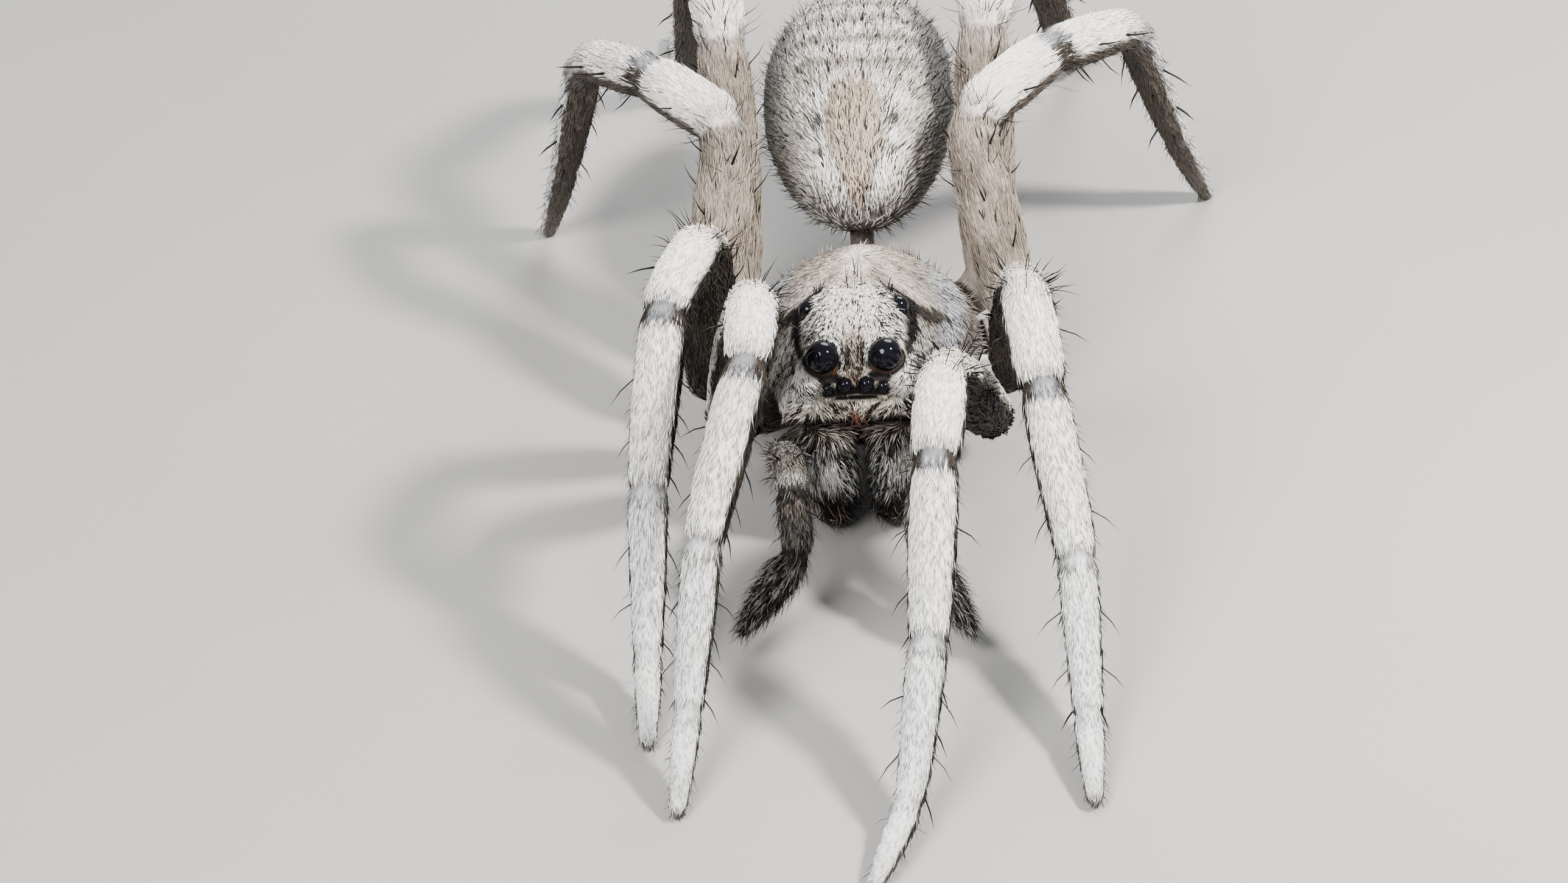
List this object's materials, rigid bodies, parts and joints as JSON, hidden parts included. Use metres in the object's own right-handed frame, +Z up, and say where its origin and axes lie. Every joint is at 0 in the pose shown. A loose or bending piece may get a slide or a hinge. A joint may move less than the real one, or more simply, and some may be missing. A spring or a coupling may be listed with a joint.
{
  "type": "wolf spider figure",
  "caption": "Life-size still wolf spider standing on its eight feet, head low and knees raised, with separate eyes, jaws, palps and leg segments.",
  "frame": {"origin": "on the floor, below the middle of the animal's bounding box", "axes": "+Y from the head to the abdomen's tip, +X towards the animal's left side, +Z up from the floor"},
  "size_m": [0.0266, 0.0562, 0.0135],
  "materials": {
    "pale_coat": "short pale grey-white hair with tan and brown markings",
    "underside_coat": "short grey-brown hair",
    "leg_coat": "short white hair above, dark brown hair at the sides and below",
    "palp_coat": "streaked grey-brown hair",
    "jaw_coat": "streaked grey and black hair",
    "eye": "glossy black lens",
    "fang": "glossy dark brown horn"
  },
  "bodies": {
    "root": {"abdomen": "pale_coat", "carapace": "pale_coat", "chelicera_left": "jaw_coat", "chelicera_right": "jaw_coat", "eye_anterior_lateral_left": "eye", "eye_anterior_lateral_right": "eye", "eye_anterior_median_left": "eye", "eye_anterior_median_right": "eye", "eye_posterior_lateral_left": "eye", "eye_posterior_lateral_right": "eye", "eye_posterior_median_left": "eye", "eye_posterior_median_right": "eye", "fang_left": "fang", "fang_right": "fang", "leg_1_left_femur": "leg_coat", "leg_1_left_foot": "leg_coat", "leg_1_left_patella": "leg_coat", "leg_1_left_tibia": "leg_coat", "leg_1_right_femur": "leg_coat", "leg_1_right_foot": "leg_coat", "leg_1_right_patella": "leg_coat", "leg_1_right_tibia": "leg_coat", "leg_2_left_femur": "leg_coat", "leg_2_left_foot": "leg_coat", "leg_2_left_patella": "leg_coat", "leg_2_left_tibia": "leg_coat", "leg_2_right_femur": "leg_coat", "leg_2_right_foot": "leg_coat", "leg_2_right_patella": "leg_coat", "leg_2_right_tibia": "leg_coat", "leg_3_left_femur": "leg_coat", "leg_3_left_foot": "leg_coat", "leg_3_left_patella": "leg_coat", "leg_3_left_tibia": "leg_coat", "leg_3_right_femur": "leg_coat", "leg_3_right_foot": "leg_coat", "leg_3_right_patella": "leg_coat", "leg_3_right_tibia": "leg_coat", "leg_4_left_femur": "leg_coat", "leg_4_left_foot": "leg_coat", "leg_4_left_patella": "leg_coat", "leg_4_left_tibia": "leg_coat", "leg_4_right_femur": "leg_coat", "leg_4_right_foot": "leg_coat", "leg_4_right_patella": "leg_coat", "leg_4_right_tibia": "leg_coat", "palp_left_femur": "palp_coat", "palp_left_patella": "palp_coat", "palp_left_tarsus": "palp_coat", "palp_left_tibia": "palp_coat", "palp_right_femur": "palp_coat", "palp_right_patella": "palp_coat", "palp_right_tarsus": "palp_coat", "palp_right_tibia": "palp_coat", "pedicel": "underside_coat", "spinnerets": "underside_coat", "sternum": "underside_coat"}
  },
  "joints": []
}
